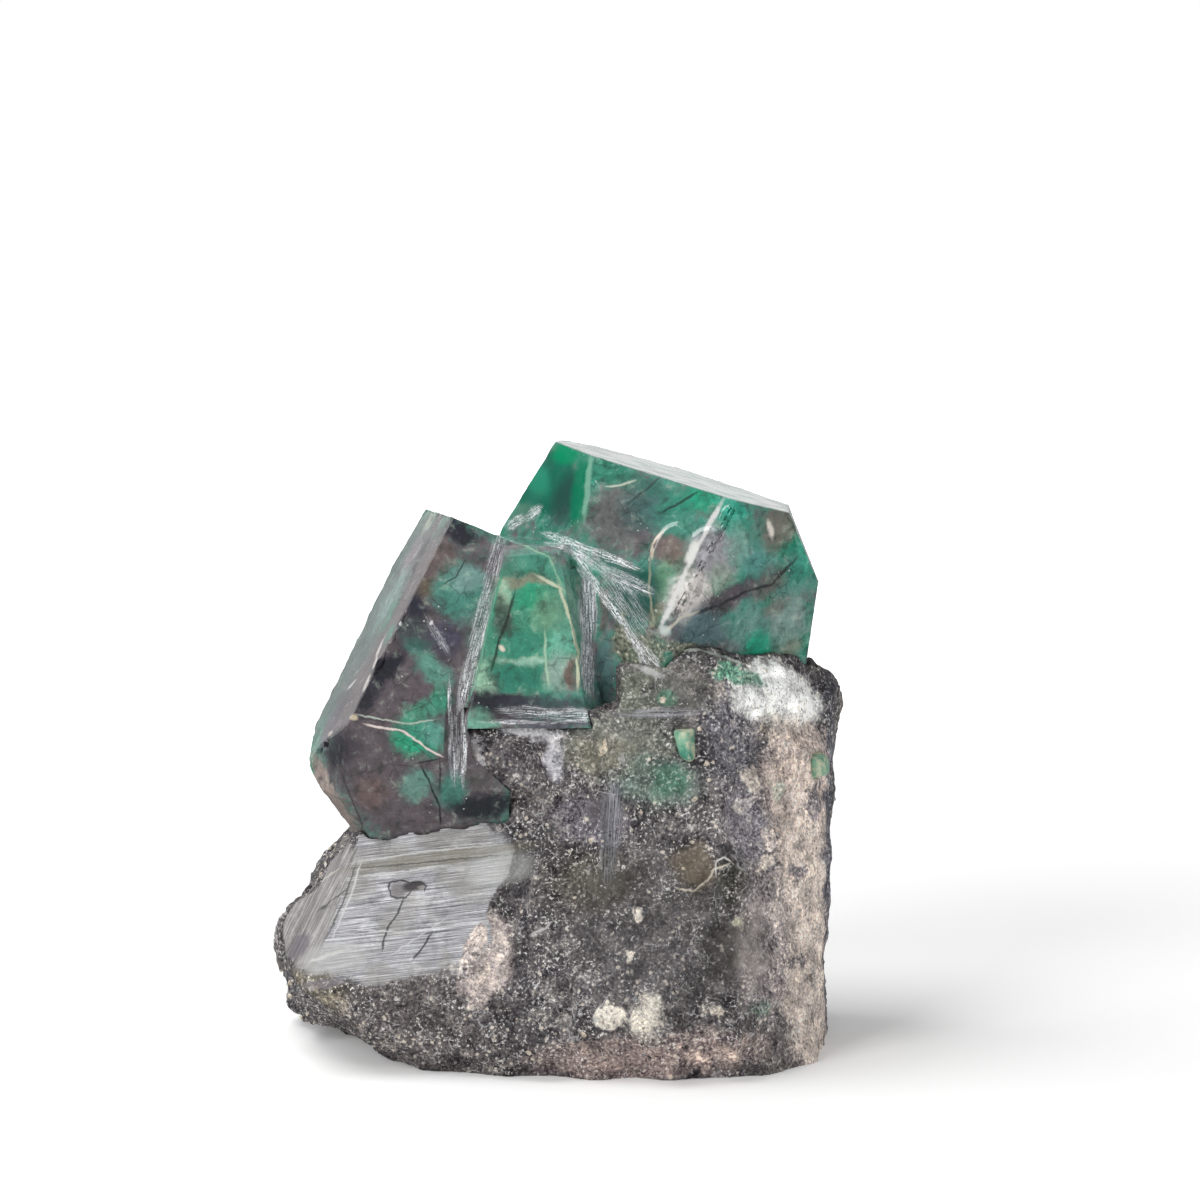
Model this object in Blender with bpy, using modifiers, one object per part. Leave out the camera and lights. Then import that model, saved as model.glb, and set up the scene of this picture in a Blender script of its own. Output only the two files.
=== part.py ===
"""Emerald in matrix: polished emerald crystals standing in a rough block of dark mica schist.

Metres, +Z up. The front of the stone looks along -Y, and the origin is on the table under its middle.
Every flat is written as (name, facing, tilt, reach). Facing is the compass direction it looks in, 0 for the
front and 90 for the right-hand side. Tilt is how far it tips upwards, and reach is its distance from the
middle of its piece. The order of work is the real one: the schist breaks rough, the crystals stand in it,
and the lapidary then grinds flats and cuts grooves with a thin disc.
"""
import bmesh
import bpy
from math import cos, radians, sin
from mathutils import Vector

SEAM = 0.0003            # gap left between two pieces that touch
LAP = 0.0017             # how far the broken schist may stand back where it laps over a crystal
ROUGH_STEP = 0.0024      # grid the schist lumps are run together on
ROUGH_SHARE = 0.50       # share of that grid's triangles kept, so the schist breaks in larger facets
RAW_SIZE = 0.16          # side of the raw cube that every piece is ground from
DISC_SIDES = 28

# The large crystal, upper right: a stout prism that leans to the right, its end polished flat.
LARGE_MIDDLE = (0.022, 0.003, 0.074)
LARGE_FLATS = (
    ("end", 95, 74.2, 0.0244),
    ("left_front", -49, 26, 0.0276),
    ("front", -13, 28, 0.0222),
    ("fan", -29, 0, 0.0218),
    ("right_front", 33, 2, 0.0180),
    ("right_front_under", 39, -13, 0.0156),
    ("right_upper", 89, 22, 0.0243),
    ("right_lower", 86, -8, 0.0220),
    ("back_right", 140, 6, 0.0203),
    ("back", -172, 2, 0.0225),
    ("back_left", -128, 12, 0.0300),
    ("left", -100, 31, 0.0362),
    ("left_root", -92, -6, 0.0315),
    ("root", 0, -90, 0.0200),
)

# The left crystal: a long prism leaning to the right, its lower end ground back under itself.
LEFT_MIDDLE = (-0.025, -0.006, 0.059)
LEFT_FLATS = (
    ("front", 2, 20, 0.0152),
    ("front_under", -3, -15, 0.0155),
    ("left", -79, 30.3, 0.0126),
    ("left_low", -60, -2, 0.0175),
    ("left_under", -63, -36, 0.0210),
    ("side", -92, 0, 0.0187),
    ("side_under", -92, -35, 0.0204),
    ("shoulder", -85, 55, 0.0273),
    ("end", 110, 66, 0.0341),
    ("right", 92, -5, 0.0170),
    ("back", 176, -6, 0.0190),
    ("back_left", -116, 12, 0.0190),
    ("root", 20, -80, 0.0260),
)

# The middle crystal: a small keystone between the other two.
MIDDLE_MIDDLE = (-0.005, -0.008, 0.073)
MIDDLE_FLATS = (
    ("front", 2, 17, 0.0108),
    ("top_slope", -5, 69, 0.0166),
    ("top", 0, 90, 0.0165),
    ("right", 69, 15, 0.0107),
    ("left", -77, 16, 0.0098),
    ("foot", 0, -84, 0.0150),
    ("back", 180, 0, 0.0120),
)

# Two small crystals that show in the face of the schist.
SMALL_MIDDLE = (0.0218, -0.0206, 0.0562)
SMALL_FLATS = (
    ("front", -16, 14, 0.0036),
    ("front_right", 58, 10, 0.0020),
    ("left", -84, -14, 0.0016),
    ("left_under", -56, -52, 0.0026),
    ("right_under", 60, -46, 0.0028),
    ("top", -10, 78, 0.0030),
    ("back", 180, 0, 0.0030),
)
SIDE_MIDDLE = (0.0442, -0.0036, 0.0496)
SIDE_FLATS = (
    ("front", 44, 8, 0.0026),
    ("left", -40, 4, 0.0014),
    ("right", 128, -4, 0.0014),
    ("top", 20, 70, 0.0019),
    ("under", 60, -74, 0.0018),
    ("back", -136, 0, 0.0026),
)

# The schist: rough lumps, run together.
BLOCK_MIDDLE = (0.016, 0.002, 0.032)
BLOCK_FLATS = (
    ("front", 0, 12, 0.0296),
    ("front_low", 1, 3, 0.0344),
    ("front_right", 50, 10, 0.0285),
    ("right", 87, -2, 0.0315),
    ("back_right", 138, 4, 0.0350),
    ("back", 168, -4, 0.0250),
    ("back_low", 180, 12, 0.0290),
    ("left", -68, 6, 0.0200),
    ("back_left", -132, 4, 0.0310),
    ("top_left", -60, 58, 0.0378),
    ("top", 90, 76, 0.0412),
    ("top_right", 100, 55, 0.0450),
    ("front_under", 6, -32, 0.0440),
    ("bottom", 0, -90, 0.0370),
)
HEART_MIDDLE = (-0.004, 0.004, 0.030)
HEART_FLATS = (
    ("front", -10, 25, 0.0254),
    ("front_low", -12, 5, 0.0338),
    ("left", -90, 0, 0.0160),
    ("back", 180, 0, 0.0250),
    ("right", 90, 0, 0.0240),
    ("top", 0, 90, 0.0330),
    ("front_under", -8, -34, 0.0430),
    ("bottom", 0, -90, 0.0340),
)
FOOT_MIDDLE = (-0.020, -0.002, 0.022)
FOOT_FLATS = (
    ("front", -5, -2, 0.0274),
    ("front_right", 40, 3, 0.0229),
    ("front_under", -18, -38, 0.0312),
    ("left", -83, -6, 0.0290),
    ("left_top", -92, 36, 0.0226),
    ("left_under", -62, -52, 0.0262),
    ("back_left", -128, 6, 0.0300),
    ("back", -168, 10, 0.0280),
    ("right", 90, 0, 0.0240),
    ("top_front", -10, 45, 0.0285),
    ("top", 160, 60, 0.0280),
    ("bottom", 0, -90, 0.0260),
)
RIDGE_MIDDLE = (-0.008, 0.014, 0.048)
RIDGE_FLATS = (
    ("front", 0, 0, 0.0200),
    ("left", -80, 22, 0.0220),
    ("back_left", -126, 14, 0.0230),
    ("back", -174, 10, 0.0165),
    ("back_low", -176, -10, 0.0170),
    ("top", -150, 70, 0.0280),
    ("top_right", 110, 50, 0.0360),
    ("right", 110, 4, 0.0340),
    ("bottom", 0, -90, 0.0460),
)
BROW_MIDDLE = (-0.002, -0.010, 0.054)
BROW_FLATS = (
    ("front", -4, -4, 0.0110),
    ("left", -80, -8, 0.0160),
    ("left_under", -48, -42, 0.0140),
    ("under", 0, -60, 0.0125),
    ("right", 90, 0, 0.0160),
    ("back", 180, 0, 0.0140),
    ("top", 0, 90, 0.0100),
)

# How the broken surface swells and chips: the pattern's kind, its size and how far it pushes.
ROUGHNESS = (
    ("swell", "CLOUDS", 0.0220, 0.0040),
    ("chips", "VORONOI", 0.0090, 0.0024),
)

# What the wheel ground away from the schist: the flat slab under the left crystal, the smaller flat beside
# it, and the step that frees the middle crystal.
SLAB_MIDDLE = (-0.034, -0.040, 0.040)
SLAB_SPACE = (
    ("slab", 170, -25, 0.0213),
    ("right", 90, -22, 0.0250),
    ("ceiling", 0, 90, 0.0078),
    ("back", 180, 0, 0.0320),
)
SLAB_SIDE_MIDDLE = (-0.050, -0.030, 0.030)
SLAB_SIDE_SPACE = (
    ("slab_left", 124, -28, 0.0137),
    ("ceiling", 0, 90, 0.0200),
)
TABLE_MIDDLE = (0.0, 0.0, -0.0500)
TABLE_SPACE = (("table", 0, 90, 0.0500),)
STEP_MIDDLE = (-0.0036, -0.0300, 0.0825)
STEP_SPACE = (
    ("right", 90, 0, 0.0134),
    ("left", -90, 0, 0.0134),
    ("back", 180, 0, 0.0195),
    ("floor", 0, -90, 0.0200),
)

# Grooves cut by a thin disc: the point of the surface it bites at, the way the surface faces and tips, how
# the groove leans from upright, its depth, and the disc's radius and width.
DISC_CUTS = (
    ("left_groove", (-0.0178, -0.0217, 0.0590), 0, 0, 2, 0.0028, 0.0300, 0.0038),
    ("ledge_groove", (-0.0040, -0.0222, 0.0618), 0, 10, 91, 0.0014, 0.0500, 0.0026),
    ("side_groove", (0.0185, -0.0219, 0.0615), 0, 12, 91, 0.0012, 0.0160, 0.0024),
    ("low_groove", (0.0090, -0.0258, 0.0420), 0, 14, 1, 0.0014, 0.0160, 0.0028),
)


def direction(facing, tilt):
    """The unit vector of a flat that faces this compass direction and tips up by tilt, in degrees."""
    across, up = radians(facing), radians(tilt)
    return Vector((sin(across) * cos(up), -cos(across) * cos(up), sin(up)))


def grind(bm, flats, grow=0.0):
    """Cuts each flat into the solid and closes the cut; grow moves every flat outwards."""
    for _, facing, tilt, reach in flats:
        normal = direction(facing, tilt)
        cut = bmesh.ops.bisect_plane(
            bm,
            geom=bm.verts[:] + bm.edges[:] + bm.faces[:],
            dist=1e-7,
            plane_co=normal * (reach + grow),
            plane_no=normal,
            clear_outer=True,
        )
        rim = [item for item in cut["geom_cut"] if isinstance(item, bmesh.types.BMEdge)]
        bmesh.ops.edgenet_fill(bm, edges=rim)
    bmesh.ops.dissolve_degenerate(bm, dist=1e-6, edges=bm.edges[:])
    bmesh.ops.recalc_face_normals(bm, faces=bm.faces[:])


def new_solid(name, middle, bm, collection):
    mesh = bpy.data.meshes.new(name)
    bm.to_mesh(mesh)
    bm.free()
    solid = bpy.data.objects.new(name, mesh)
    solid.location = middle
    collection.objects.link(solid)
    return solid


def raw_cube():
    bm = bmesh.new()
    bmesh.ops.create_cube(bm, size=RAW_SIZE)
    return bm


def crystal(name, middle, flats, collection, grow=0.0):
    bm = raw_cube()
    grind(bm, flats, grow)
    return new_solid(name, middle, bm, collection)


def disc_cutter(name, bite, facing, tilt, lean, depth, radius, width, collection):
    """The lapidary's disc, sunk by depth into the surface at bite, so that its groove tapers at both ends."""
    outward = direction(facing, tilt)
    upward = direction(facing, tilt + 90)
    across = upward.cross(outward).normalized()
    axle = (across * cos(radians(lean)) - upward * sin(radians(lean))).normalized()
    bm = bmesh.new()
    bmesh.ops.create_cone(
        bm, cap_ends=True, segments=DISC_SIDES, radius1=radius, radius2=radius, depth=width
    )
    rim = [edge for edge in bm.edges if abs(edge.verts[0].co.z - edge.verts[1].co.z) < 1e-6]
    bmesh.ops.bevel(bm, geom=rim, offset=width * 0.3, segments=1, affect="EDGES")
    disc = new_solid(name, Vector(bite) + outward * (radius - depth), bm, collection)
    disc.rotation_mode = "QUATERNION"
    disc.rotation_quaternion = axle.to_track_quat("Z", "Y")
    return disc


def as_cutter(solid):
    solid.hide_render = True
    solid.display_type = "WIRE"
    return solid


def boolean(target, tool, operation):
    step = target.modifiers.new(f"{operation.lower()}_{tool.name}", "BOOLEAN")
    step.operation = operation
    step.object = tool
    as_cutter(tool)


def break_rough(stone):
    """Runs the lumps into one skin, pushes it in and out as schist breaks, and leaves it in facets."""
    skin = stone.modifiers.new("one_skin", "REMESH")
    skin.mode = "VOXEL"
    skin.voxel_size = ROUGH_STEP
    for name, kind, size, push in ROUGHNESS:
        pattern = bpy.data.textures.new(name, kind)
        pattern.noise_scale = size
        step = stone.modifiers.new(name, "DISPLACE")
        step.texture = pattern
        step.texture_coords = "LOCAL"
        step.strength = push
    facets = stone.modifiers.new("facets", "DECIMATE")
    facets.ratio = ROUGH_SHARE


def finish_material(name, colour, roughness):
    material = bpy.data.materials.new(name)
    material.use_nodes = True
    shader = material.node_tree.nodes["Principled BSDF"]
    shader.inputs["Base Color"].default_value = (*colour, 1.0)
    shader.inputs["Roughness"].default_value = roughness
    return material


def clear_scene():
    for found in list(bpy.data.objects):
        bpy.data.objects.remove(found)


def main():
    clear_scene()
    stone = bpy.data.collections.new("emerald_in_matrix")
    cutters = bpy.data.collections.new("cutters")
    for collection in (stone, cutters):
        bpy.context.scene.collection.children.link(collection)

    schist = finish_material("schist", (0.10, 0.10, 0.10), 0.85)
    emerald = finish_material("emerald", (0.02, 0.25, 0.15), 0.25)

    matrix = crystal("schist_matrix", BLOCK_MIDDLE, BLOCK_FLATS, stone)
    matrix.data.materials.append(schist)
    for name, middle, flats in (
        ("heart", HEART_MIDDLE, HEART_FLATS),
        ("foot", FOOT_MIDDLE, FOOT_FLATS),
        ("ridge", RIDGE_MIDDLE, RIDGE_FLATS),
        ("brow", BROW_MIDDLE, BROW_FLATS),
    ):
        boolean(matrix, crystal(name, middle, flats, cutters), "UNION")
    break_rough(matrix)
    for name, middle, flats in (
        ("slab_space", SLAB_MIDDLE, SLAB_SPACE),
        ("slab_side_space", SLAB_SIDE_MIDDLE, SLAB_SIDE_SPACE),
        ("step_space", STEP_MIDDLE, STEP_SPACE),
        ("table_space", TABLE_MIDDLE, TABLE_SPACE),
    ):
        boolean(matrix, crystal(name, middle, flats, cutters), "DIFFERENCE")

    group = crystal("emerald_crystals", LARGE_MIDDLE, LARGE_FLATS, stone)
    middle = crystal("middle_crystal", MIDDLE_MIDDLE, MIDDLE_FLATS, cutters)
    left = crystal("left_crystal", LEFT_MIDDLE, LEFT_FLATS, cutters)
    large_pocket = crystal("large_pocket", LARGE_MIDDLE, LARGE_FLATS, cutters, SEAM)
    middle_pocket = crystal("middle_pocket", MIDDLE_MIDDLE, MIDDLE_FLATS, cutters, SEAM)
    left_pocket = crystal("left_pocket", LEFT_MIDDLE, LEFT_FLATS, cutters, SEAM)
    brow_sides = BROW_FLATS[1:]
    boolean(left, crystal("brow_room", BROW_MIDDLE, brow_sides, cutters, SEAM - LAP), "DIFFERENCE")
    boolean(left_pocket, crystal("brow_core", BROW_MIDDLE, brow_sides, cutters, -LAP), "DIFFERENCE")
    boolean(group, middle, "UNION")
    boolean(group, left, "UNION")
    for pocket in (large_pocket, middle_pocket, left_pocket):
        boolean(matrix, pocket, "DIFFERENCE")

    pieces = [matrix, group]
    for name, middle, flats in (
        ("small_crystal", SMALL_MIDDLE, SMALL_FLATS),
        ("side_crystal", SIDE_MIDDLE, SIDE_FLATS),
    ):
        pieces.append(crystal(name, middle, flats, stone))
        boolean(matrix, crystal(f"{name}_pocket", middle, flats, cutters, SEAM), "DIFFERENCE")
    for piece in pieces[1:]:
        piece.data.materials.append(emerald)

    for name, *cut in DISC_CUTS:
        disc = disc_cutter(name, *cut, cutters)
        for piece in pieces:
            boolean(piece, disc, "DIFFERENCE")


main()
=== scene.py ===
# %% [markdown]
# # Emerald in matrix
# A hand specimen: two thick emerald prisms and a few small ones, still sitting in the dark mica
# schist that they grew in. A cutter has polished some of the crystal faces, and has ground flats
# and narrow grooves where rock was in the way. The solids of the stone are packed already, as a
# frame of plain facets. This file dresses them: each solid is copied, refined and roughened, and
# then gets a finish that is worked out from its own coordinates, so it holds from every side.

import bpy
import numpy as np
from mathutils import Matrix, Vector


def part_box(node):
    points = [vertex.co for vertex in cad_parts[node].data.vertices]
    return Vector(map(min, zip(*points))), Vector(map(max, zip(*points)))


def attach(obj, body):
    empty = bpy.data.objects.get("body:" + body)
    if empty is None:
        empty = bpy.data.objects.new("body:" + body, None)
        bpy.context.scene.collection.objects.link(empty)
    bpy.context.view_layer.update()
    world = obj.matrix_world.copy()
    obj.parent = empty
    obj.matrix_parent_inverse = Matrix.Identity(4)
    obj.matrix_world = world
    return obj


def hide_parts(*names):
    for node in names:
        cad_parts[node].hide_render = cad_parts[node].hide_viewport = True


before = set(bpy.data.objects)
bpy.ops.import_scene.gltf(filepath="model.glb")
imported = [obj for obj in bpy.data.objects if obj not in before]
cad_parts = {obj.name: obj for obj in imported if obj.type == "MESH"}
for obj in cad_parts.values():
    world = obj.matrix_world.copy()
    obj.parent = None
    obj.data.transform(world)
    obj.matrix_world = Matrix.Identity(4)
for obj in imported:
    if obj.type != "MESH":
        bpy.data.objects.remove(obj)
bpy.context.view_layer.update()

MM = 0.001
FAR = 1000.0
for node in sorted(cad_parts):
    low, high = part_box(node)
    print(node, "from", [round(v / MM, 1) for v in low], "to", [round(v / MM, 1) for v in high])

# %% [markdown]
# ## Camera
# The camera stands about 750 mm in front of the stone and a little above it, with a long lens, so
# that the upright faces stay almost parallel. It comes first because the places of the markings
# are read in its frame, which is ruled in 1200 parts each way, as a maker rules a grid over a
# drawing. A place in that frame is a line of sight, and where it meets a piece is a real point.

# %% Camera
CAMERA_PLACE = Vector((6.88, -738.6, 179.5)) * MM
CAMERA_DIP = np.radians(7.79)
CAMERA_LENS = 127.55
CAMERA_DISTANCE = 750
SENSOR = 36.0
FRAME_SIDE = 1200

camera_data = bpy.data.cameras.new("camera")
camera_data.lens = CAMERA_LENS
camera_data.sensor_width = SENSOR
camera_data.clip_start = 0.05
camera = bpy.data.objects.new("camera", camera_data)
bpy.context.scene.collection.objects.link(camera)
camera.location = CAMERA_PLACE
camera.rotation_euler = (np.radians(90) - CAMERA_DIP, 0, 0)
bpy.context.scene.camera = camera
bpy.context.view_layer.update()
camera_turn = camera.matrix_world.to_3x3()
FRAME_PART = SENSOR / CAMERA_LENS / FRAME_SIDE * CAMERA_DISTANCE
print("camera at", [round(v / MM) for v in CAMERA_PLACE], "mm")
print("one part of the frame is", round(FRAME_PART, 4), "mm on the stone")


# %% The line of sight through a place in the ruled frame
def sight(across, down):
    """The direction of the line of sight through one place of the frame."""
    side = SENSOR / CAMERA_LENS / FRAME_SIDE
    middle = FRAME_SIDE / 2
    return (camera_turn @ Vector(((across - middle) * side, (middle - down) * side, -1))).normalized()


def seen_on(piece, across, down):
    """Where that line of sight meets a piece, in metres, or the piece's nearest point to it."""
    ahead = sight(across, down)
    found, place = piece.ray_cast(CAMERA_PLACE, ahead)[:2]
    if not found:
        beside = CAMERA_PLACE + ahead * (-CAMERA_PLACE.y / ahead.y)
        place = piece.closest_point_on_mesh(beside)[1]
    return place


def frame_across(places):
    """How far across the frame each of some places is seen, for rows of x, y and z in metres."""
    seen = (places - np.array(CAMERA_PLACE)) @ np.array(camera_turn)
    return FRAME_SIDE * (0.5 - seen[:, 0] / seen[:, 2] * CAMERA_LENS / SENSOR)

# %% [markdown]
# ## Helpers for the pieces
# Blender's operators act on whatever is selected, so each step starts by selecting one piece and
# nothing else. A copy of a solid has loose triangles at first: its doubled corners are merged, and
# after that it can be bevelled, remeshed and displaced like anything modelled by hand.

# %% Selecting, copying and finishing a piece
def only(piece):
    """Selects one piece and makes it the active one."""
    bpy.ops.object.select_all(action="DESELECT")
    piece.select_set(True)
    bpy.context.view_layer.objects.active = piece


def copy_of(node, name):
    """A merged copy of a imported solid, as a new piece."""
    piece = bpy.data.objects.new(name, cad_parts[node].data.copy())
    bpy.context.scene.collection.objects.link(piece)
    piece.data.name = name
    piece.data.materials.clear()
    only(piece)
    bpy.ops.object.mode_set(mode="EDIT")
    bpy.ops.mesh.select_all(action="SELECT")
    bpy.ops.mesh.remove_doubles(threshold=0.001 * MM)
    bpy.ops.mesh.normals_make_consistent(inside=False)
    bpy.ops.object.mode_set(mode="OBJECT")
    return piece


def apply(piece, kind, name, **settings):
    """Adds one modifier with its settings and applies it."""
    modifier = piece.modifiers.new(name, kind)
    for setting, value in settings.items():
        setattr(modifier, setting, value)
    only(piece)
    bpy.ops.object.modifier_apply(modifier=modifier.name)


def corners(piece):
    """Every corner of a piece's mesh, in millimetres, as rows of x, y and z."""
    flat = np.zeros(len(piece.data.vertices) * 3)
    piece.data.vertices.foreach_get("co", flat)
    return flat.reshape(-1, 3) / MM


def middles(piece):
    """The middle of every face of a piece, in metres, as rows of x, y and z."""
    flat = np.zeros(len(piece.data.polygons) * 3)
    piece.data.polygons.foreach_get("center", flat)
    return flat.reshape(-1, 3)


def triangles(piece):
    """How many triangles a piece has."""
    piece.data.calc_loop_triangles()
    return len(piece.data.loop_triangles)


def weigh(piece, name, weights):
    """Stores one weight from 0 to 1 for each corner, as a vertex group that modifiers can read."""
    group = piece.vertex_groups.new(name=name)
    steps = np.round(np.clip(weights, 0, 1) * WEIGHT_STEPS).astype(int)
    for step in range(1, WEIGHT_STEPS + 1):
        chosen = np.nonzero(steps == step)[0].tolist()
        if chosen:
            group.add(chosen, step / WEIGHT_STEPS, "REPLACE")
    return group.name


WEIGHT_STEPS = 20


# %% Directions, soft steps and egg-shaped patches
def direction(facing, tilt):
    """A unit direction: facing 0 looks to the front and 90 to the right, and tilt looks upwards."""
    across, up = np.radians(facing), np.radians(tilt)
    return np.array([np.sin(across) * np.cos(up), -np.cos(across) * np.cos(up), np.sin(up)])


def smooth(value, low, high):
    """0 below low, 1 above high, and a soft rise between them."""
    share = np.clip((value - low) / (high - low), 0, 1)
    return share * share * (3 - 2 * share)


def level(turn):
    """The turn of a mark that faces the camera, with its right end lifted by some degrees."""
    return Matrix.Rotation(-CAMERA_DIP, 3, "X") @ Matrix.Rotation(-np.radians(turn), 3, "Y")


def egg(points, piece, across, down, wide, high, turn=0):
    """How deep each point lies in one egg-shaped patch of a piece: 1 at its middle, 0 at its rim.

    Its middle is found by a line of sight, and its half sizes are in parts of the frame.
    """
    middle = np.array(seen_on(piece, across, down)) / MM
    half = np.array((wide, max(wide, high, LEAST_DEPTH), high)) * FRAME_PART
    inside = (points - middle) @ np.array(level(turn)) / half
    return 1 - np.linalg.norm(inside, axis=1)


LEAST_DEPTH = 12


# %% [markdown]
# ## The crystals
# The prisms keep their cut planes exactly, because a polished face is a mirror and shows every
# wave. Their edges get the fine bevel that a polishing lap leaves. Then each face is divided, so
# that the arrises can be chipped.

# %% Crystal copies with soft edges
def sharp_edges(piece):
    """The two ends of every edge where two facets meet, in millimetres."""
    mesh = piece.data
    places = corners(piece)
    facets = {}
    for polygon in mesh.polygons:
        for key in polygon.edge_keys:
            facets.setdefault(key, []).append(np.array(polygon.normal))
    keys = [k for k, normals in facets.items() if normals[0] @ normals[-1] < np.cos(FACET_ANGLE)]
    return [(places[first], places[last]) for first, last in keys]


def stand_off(points, segments):
    """The distance of each point from the nearest of some straight segments."""
    nearest = np.full(len(points), FAR)
    for first, last in segments:
        along = last - first
        share = np.clip((points - first) @ along / (along @ along), 0, 1)
        reach = np.linalg.norm(points - first - share[:, None] * along, axis=1)
        nearest = np.minimum(nearest, reach)
    return nearest


def crystal_piece(node, name, edge, cuts):
    """A copy of a crystal solid, bevelled and divided finely, and the arrises that it had."""
    piece = copy_of(node, name)
    arrises = sharp_edges(piece)
    apply(
        piece, "BEVEL", "edge", width=edge * MM, segments=2, limit_method="ANGLE",
        angle_limit=FACET_ANGLE, loop_slide=False,
    )
    apply(piece, "TRIANGULATE", "triangles")
    for _ in range(cuts):
        only(piece)
        bpy.ops.object.mode_set(mode="EDIT")
        bpy.ops.mesh.select_all(action="DESELECT")
        bpy.ops.mesh.select_mode(type="EDGE")
        bpy.ops.object.mode_set(mode="OBJECT")
        ends = corners(piece)
        pairs = np.zeros(len(piece.data.edges) * 2, int)
        piece.data.edges.foreach_get("vertices", pairs)
        pairs = pairs.reshape(-1, 2)
        lengths = np.linalg.norm(ends[pairs[:, 0]] - ends[pairs[:, 1]], axis=1)
        piece.data.edges.foreach_set("select", lengths > LONGEST_EDGE)
        bpy.ops.object.mode_set(mode="EDIT")
        bpy.ops.mesh.subdivide(number_cuts=1)
        bpy.ops.mesh.select_all(action="SELECT")
        bpy.ops.mesh.quads_convert_to_tris()
        bpy.ops.object.mode_set(mode="OBJECT")
    return piece, arrises


FACET_ANGLE = np.radians(14)
LONGEST_EDGE = 0.75
emerald, arrises = crystal_piece("emerald_crystals", "emerald_body", edge=0.35, cuts=7)
small = crystal_piece("small_crystal", "small_emerald", edge=0.3, cuts=4)[0]
side = crystal_piece("side_crystal", "side_emerald", edge=0.3, cuts=4)[0]

# %% [markdown]
# Emerald is brittle, so its arrises are nicked where rock was prised off. A displacement that only
# reaches the corners beside an arris, and only where a coarse noise is high, takes out small
# shells. The lower front edge of the left prism has the most. A thin skin of unpolished crystal is
# left standing on the large prism, with a ragged step down to the polished part below it.

# %% Nicks along the arrises
def nicks(piece, name, weights, size, depth):
    """Shell-shaped nicks of a size and depth in millimetres, where the weights are high."""
    texture = bpy.data.textures.new(name, "CLOUDS")
    texture.noise_scale = size * MM
    texture.noise_depth = 1
    texture.contrast = 2.6
    texture.intensity = 0.75
    apply(
        piece, "DISPLACE", name, texture=texture, texture_coords="LOCAL", strength=-depth * MM,
        mid_level=0.0, vertex_group=weigh(piece, name, weights),
    )


points = corners(emerald)
beside = 1 - smooth(stand_off(points, arrises), 0.2, 0.9)
nicks(emerald, "fine_nicks", beside, size=1.8, depth=0.14)

# across, down, half width, half height and turn
NICKED = [(378, 655, 12, 60, -30), (325, 748, 22, 12, 20), (652, 580, 8, 60, 0)]
for number, place in enumerate(NICKED):
    points = corners(emerald)
    beside = 1 - smooth(stand_off(points, arrises), 0.3, 1.2)
    weights = beside * smooth(egg(points, emerald, *place), 0, 0.3)
    nicks(emerald, f"nicks_{number}", weights, size=2.2, depth=0.7)

# %% A raised skin of natural crystal on the large prism
SKIN = [
    (712, 556, 26, 30, 20), (690, 600, 30, 26, 35), (672, 560, 22, 40, -10), (735, 545, 14, 40, 10),
]
SKIN_HEIGHT = 0.45
points = corners(emerald)
skin = np.full(len(points), -1.0)
for place in SKIN:
    skin = np.maximum(skin, egg(points, emerald, *place))
apply(
    emerald, "DISPLACE", "skin", strength=SKIN_HEIGHT * MM, mid_level=0.0,
    vertex_group=weigh(emerald, "skin", smooth(skin, 0.02, 0.10)),
)
emerald.vertex_groups.clear()

# %% Small crystals swell to fill their sockets
SWELL = 0.3
for piece in (small, side):
    apply(piece, "DISPLACE", "swell", strength=SWELL * MM, mid_level=0.0)
for piece in (emerald, small, side):
    only(piece)
    bpy.ops.object.shade_smooth_by_angle(angle=np.radians(12))
    print(piece.name, "triangles", triangles(piece))

# %% [markdown]
# ## The schist
# The real rock is a dark mica schist: broken faces with a grain of half a millimetre, flakes and
# low crumbs, and a few flats and grooves that a wheel has ground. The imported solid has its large
# forms. A voxel remesh gives the copy even squares of 0.6 mm, and displacement at four sizes then
# breaks them up. A vertex group keeps it off the ground flats and the base, which stay plane.

# %% The flats that the wheel has left
SLAB = (direction(-10, 25), 36.6)
SLAB_SIDE = (direction(-56, 28), 51.8)
BASE = (np.array([0.0, 0.0, -1.0]), 0.0)
VOXEL = 0.62

schist = copy_of("schist_matrix", "schist_body")
apply(schist, "REMESH", "squares", mode="VOXEL", voxel_size=VOXEL * MM)
print("schist squares", len(schist.data.polygons))

# %% Where the schist may be broken up
def off_flats(points):
    """The distance of each point from the nearest ground flat."""
    nearest = np.full(len(points), FAR)
    for normal, reach in (SLAB, SLAB_SIDE, BASE):
        nearest = np.minimum(nearest, np.abs(points @ normal - reach))
    return nearest


def off_crystals(points):
    """The distance of each point from the nearest crystal."""
    nearest = np.full(len(points), FAR)
    for crystal in (emerald, small, side):
        room = corners(crystal)
        close = (points > room.min(0) - COLLAR).all(1) & (points < room.max(0) + COLLAR).all(1)
        for index in np.nonzero(close)[0]:
            place = Vector(points[index] * MM)
            reach = (crystal.closest_point_on_mesh(place)[1] - place).length / MM
            nearest[index] = min(nearest[index], reach)
    return nearest


COLLAR = 2.2
points = corners(schist)

# all distances in millimetres: a collar beside the crystals and the worn right side break up less
collar = 1 - smooth(off_crystals(points), 0.5, COLLAR)
free = smooth(off_flats(points), 0.15, 1.2)
worn_side = smooth(points[:, 0], 36, 46)
weigh(schist, "broken", free * (1 - 0.75 * collar) * (1 - 0.5 * worn_side))
weigh(schist, "collar", free * collar)

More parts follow.
